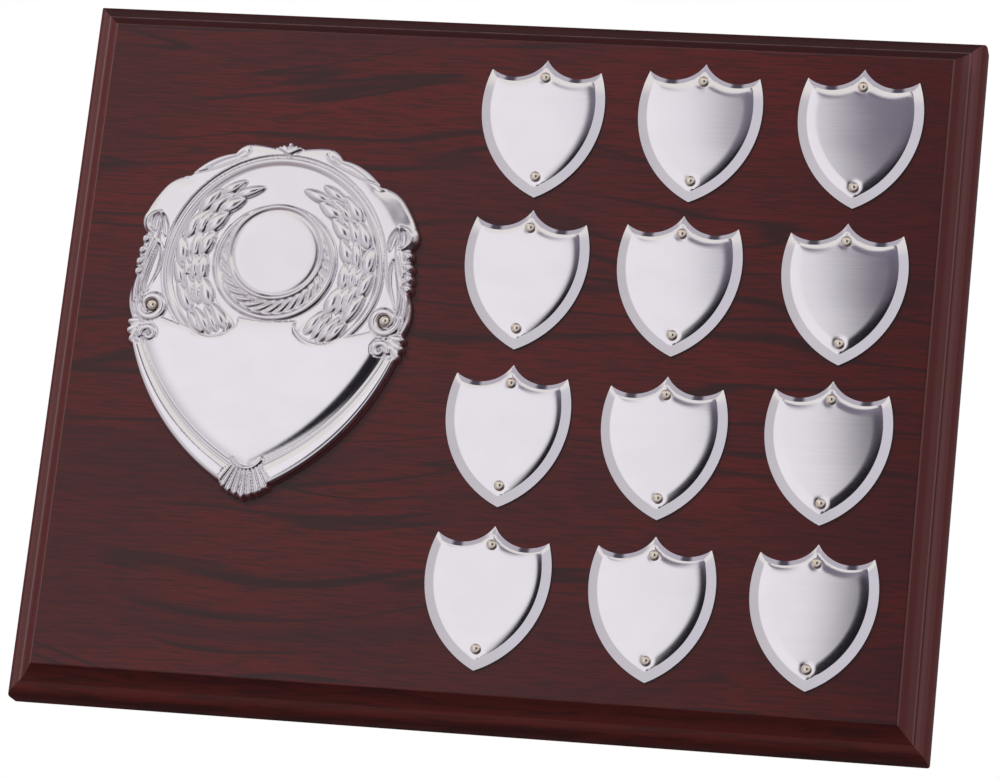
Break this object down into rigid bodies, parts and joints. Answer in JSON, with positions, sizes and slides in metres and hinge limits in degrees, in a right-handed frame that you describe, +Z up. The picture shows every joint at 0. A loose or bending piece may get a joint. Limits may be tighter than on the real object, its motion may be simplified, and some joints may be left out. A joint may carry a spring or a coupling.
{
  "type": "presentation plaque",
  "caption": "Rectangular moulded wooden board that carries one large relief shield and twelve small plain shields, pinned on, for hanging on a wall.",
  "frame": {"origin": "centre of the board's flat back, which lies on the wall", "axes": "+Z up, +X to the right as seen from the front, +Y into the wall; the shields face -Y"},
  "size_m": [0.305, 0.0234, 0.2428],
  "materials": {
    "stained_wood": "dark red-brown stain, satin lacquer, fine horizontal grain",
    "silvered_metal": "silver plate, bright in the relief and finely brushed on the plain panels",
    "pin_nickel": "polished warm nickel"
  },
  "bodies": {
    "root": {"board": "stained_wood", "main_shield": "silvered_metal", "main_pin_left": "pin_nickel", "main_pin_right": "pin_nickel", "side_shield_r1c1": "silvered_metal", "side_shield_r1c2": "silvered_metal", "side_shield_r1c3": "silvered_metal", "side_shield_r2c1": "silvered_metal", "side_shield_r2c2": "silvered_metal", "side_shield_r2c3": "silvered_metal", "side_shield_r3c1": "silvered_metal", "side_shield_r3c2": "silvered_metal", "side_shield_r3c3": "silvered_metal", "side_shield_r4c1": "silvered_metal", "side_shield_r4c2": "silvered_metal", "side_shield_r4c3": "silvered_metal", "pin_r1c1_top": "pin_nickel", "pin_r1c1_bottom": "pin_nickel", "pin_r1c2_top": "pin_nickel", "pin_r1c2_bottom": "pin_nickel", "pin_r1c3_top": "pin_nickel", "pin_r1c3_bottom": "pin_nickel", "pin_r2c1_top": "pin_nickel", "pin_r2c1_bottom": "pin_nickel", "pin_r2c2_top": "pin_nickel", "pin_r2c2_bottom": "pin_nickel", "pin_r2c3_top": "pin_nickel", "pin_r2c3_bottom": "pin_nickel", "pin_r3c1_top": "pin_nickel", "pin_r3c1_bottom": "pin_nickel", "pin_r3c2_top": "pin_nickel", "pin_r3c2_bottom": "pin_nickel", "pin_r3c3_top": "pin_nickel", "pin_r3c3_bottom": "pin_nickel", "pin_r4c1_top": "pin_nickel", "pin_r4c1_bottom": "pin_nickel", "pin_r4c2_top": "pin_nickel", "pin_r4c2_bottom": "pin_nickel", "pin_r4c3_top": "pin_nickel", "pin_r4c3_bottom": "pin_nickel"}
  },
  "joints": []
}
